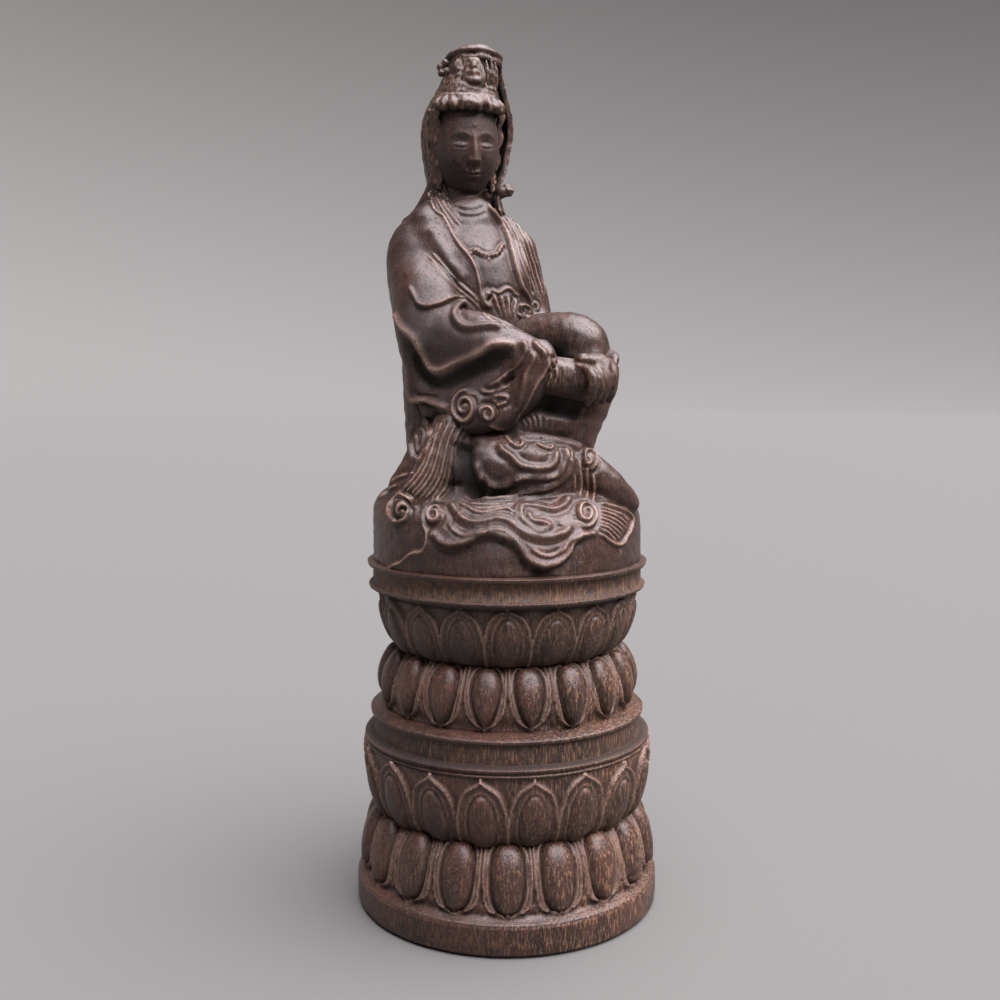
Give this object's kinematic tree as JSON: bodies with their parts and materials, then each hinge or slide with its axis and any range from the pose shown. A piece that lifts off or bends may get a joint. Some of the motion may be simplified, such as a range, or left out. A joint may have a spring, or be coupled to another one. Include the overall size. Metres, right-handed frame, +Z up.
{
  "type": "carved guanyin figure",
  "caption": "Carved wooden figure of a veiled woman seated at ease on a rock, clasping her raised knee, one piece with a round lotus stand.",
  "frame": {"origin": "middle of the round underside", "axes": "+Z up through the stand, the figure looks along -Y, +X is the figure's left"},
  "size_m": [0.0358, 0.0358, 0.1023],
  "materials": {
    "wood": "hand-polished dark brown hardwood, ridges worn paler, dust in the hollows"
  },
  "bodies": {
    "root": {"guanyin_figure": "wood"}
  },
  "joints": []
}
